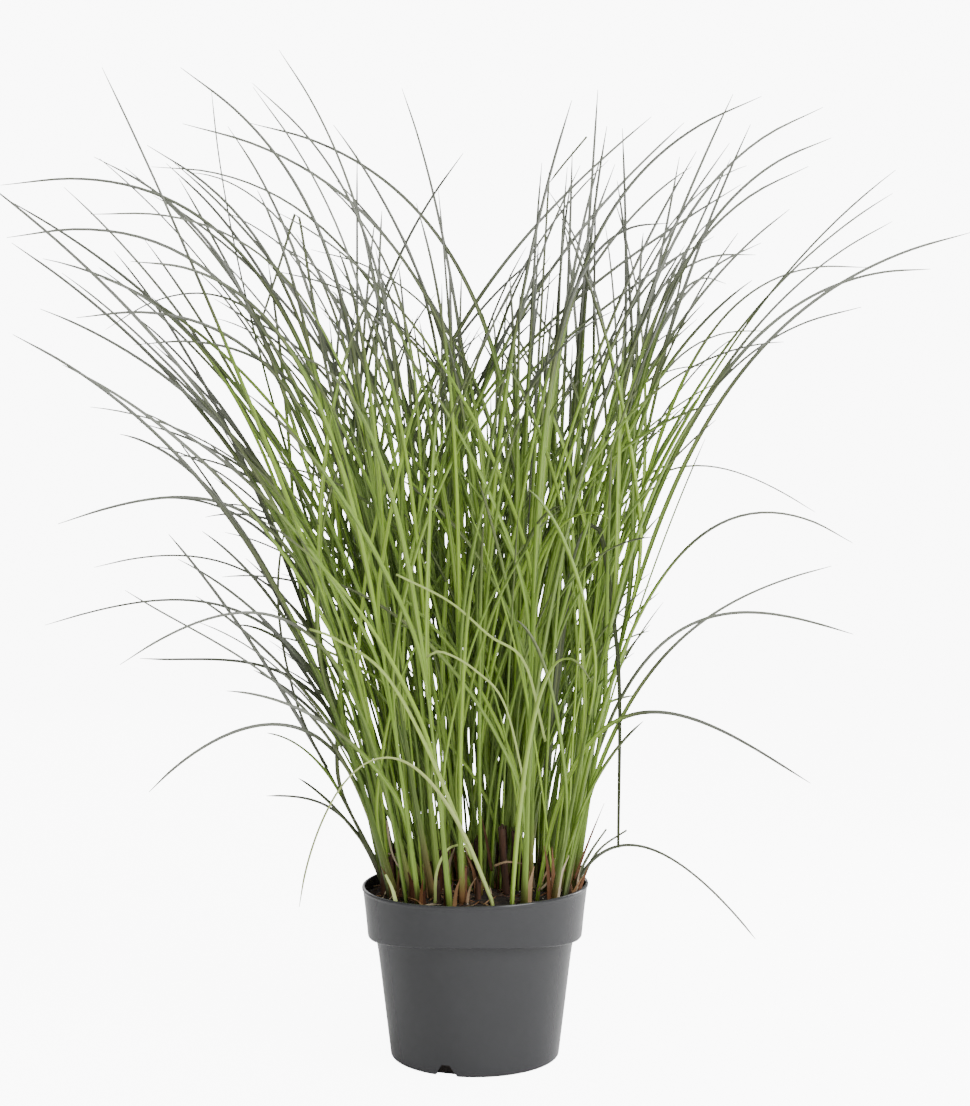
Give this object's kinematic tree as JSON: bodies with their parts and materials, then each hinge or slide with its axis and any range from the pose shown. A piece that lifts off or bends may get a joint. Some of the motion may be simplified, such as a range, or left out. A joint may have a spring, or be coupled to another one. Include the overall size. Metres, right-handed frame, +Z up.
{
  "type": "potted ornamental grass",
  "caption": "Vase-shaped clump of narrow arching grass leaves on upright shoots, rooted in compost in a round tapered nursery pot with a wide collar.",
  "frame": {"origin": "middle of the pot's flat underside", "axes": "+Z up along the pot's axis, -Y towards the front of the pot, +X to the right seen from the front"},
  "size_m": [0.8654, 0.6504, 0.8551],
  "materials": {
    "pot_plastic": "satin",
    "compost": "matte",
    "green_stem": "satin",
    "green_leaf": "satin",
    "dead_cane": "matte"
  },
  "bodies": {
    "root": {"pot": "pot_plastic", "shoot_01": "green_stem", "shoot_02": "green_stem", "shoot_03": "green_stem", "shoot_04": "green_stem", "shoot_05": "green_stem", "shoot_06": "green_stem", "shoot_07": "green_stem", "shoot_08": "green_stem", "shoot_09": "green_stem", "shoot_10": "green_stem", "shoot_11": "green_stem", "shoot_12": "green_stem", "shoot_13": "green_stem", "shoot_14": "green_stem", "shoot_15": "green_stem", "shoot_16": "green_stem", "shoot_17": "green_stem", "shoot_18": "green_stem", "shoot_19": "green_stem", "shoot_20": "green_stem", "shoot_21": "green_stem", "shoot_22": "green_stem", "shoot_23": "green_stem", "shoot_24": "green_stem", "shoot_25": "green_stem", "shoot_26": "green_stem", "shoot_27": "green_stem", "shoot_28": "green_stem", "shoot_29": "green_stem", "shoot_30": "green_stem", "shoot_31": "green_stem", "shoot_32": "green_stem", "shoot_33": "green_stem", "shoot_34": "green_stem", "side_leaf_01": "green_leaf", "side_leaf_02": "green_leaf", "side_leaf_03": "green_leaf", "side_leaf_04": "green_leaf", "side_leaf_05": "green_leaf", "side_leaf_06": "green_leaf", "side_leaf_07": "green_leaf", "side_leaf_08": "green_leaf", "side_leaf_09": "green_leaf", "side_leaf_10": "green_leaf", "side_leaf_11": "green_leaf", "side_leaf_12": "green_leaf", "side_leaf_13": "green_leaf", "side_leaf_14": "green_leaf", "side_leaf_15": "green_leaf", "side_leaf_16": "green_leaf", "side_leaf_17": "green_leaf", "side_leaf_18": "green_leaf", "side_leaf_19": "green_leaf", "side_leaf_20": "green_leaf", "soil": "compost", "stub_01": "dead_cane", "stub_02": "dead_cane", "stub_03": "dead_cane", "stub_04": "dead_cane"}
  },
  "joints": []
}
